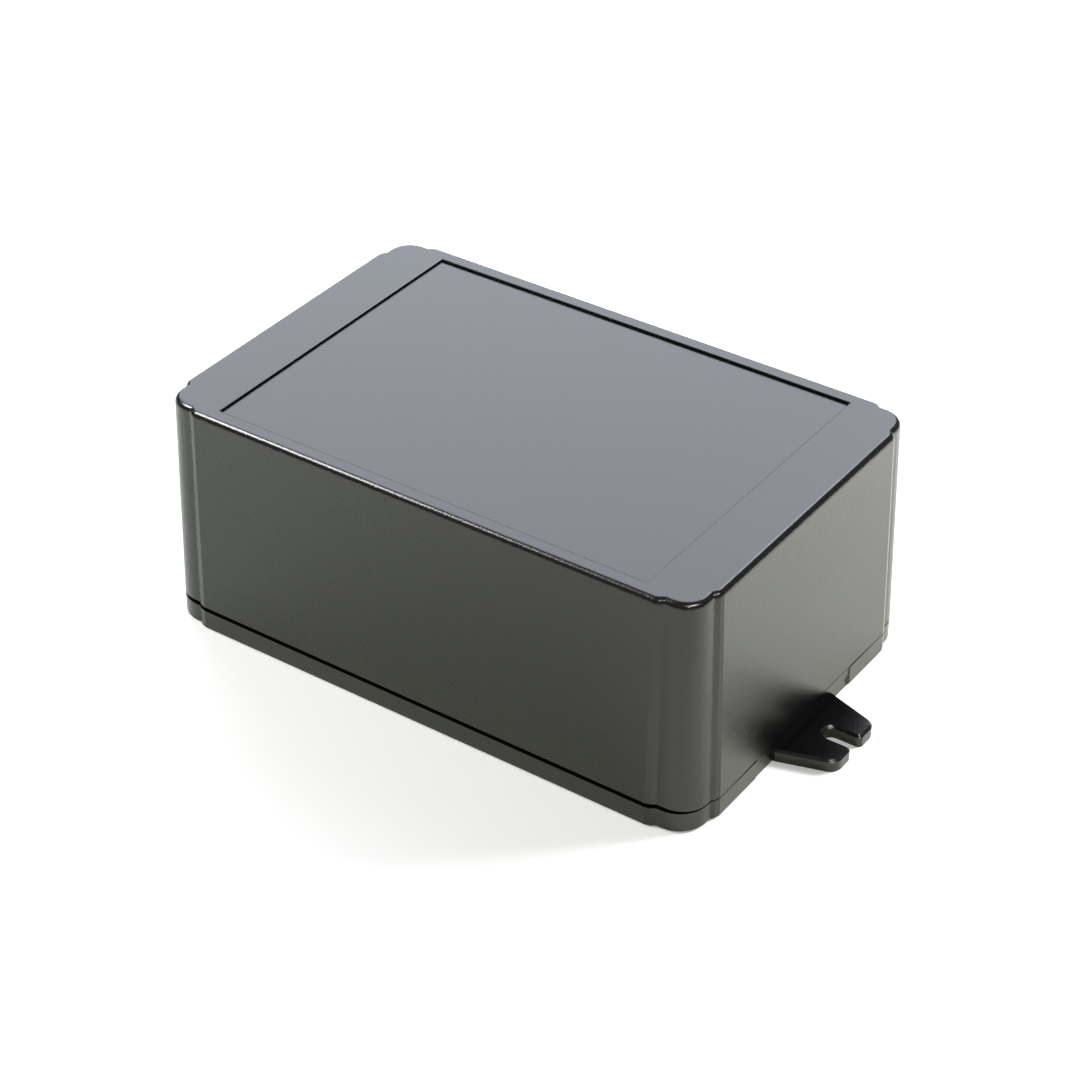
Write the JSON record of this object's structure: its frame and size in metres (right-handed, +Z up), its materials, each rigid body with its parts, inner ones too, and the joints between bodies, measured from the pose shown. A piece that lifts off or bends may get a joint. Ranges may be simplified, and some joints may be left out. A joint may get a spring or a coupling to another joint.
{
  "type": "plastic project box",
  "caption": "Black moulded plastic project box: deep screwed-on cover with set-back rounded corners and a label recess, on a shallow base with slotted end flanges.",
  "frame": {"origin": "middle of the base's underside, halfway between the end walls and between the side walls", "axes": "+X along the box from flange to flange, +Y across it, +Z up from the base to the cover's top"},
  "size_m": [0.1774, 0.097, 0.061],
  "materials": {
    "base_plastic": "black moulded plastic with a fine satin texture",
    "cover_plastic": "black moulded plastic with a fine satin texture",
    "screw_steel": "zinc-plated steel"
  },
  "bodies": {
    "base": {"base": "base_plastic", "cover_screws": "screw_steel"},
    "cover": {"cover": "cover_plastic"}
  },
  "joints": [
    {"name": "cover_lift", "type": "slide", "parent": "base", "child": "cover", "axis": [0, 0, 1], "range_m": [0, 0.08]}
  ]
}
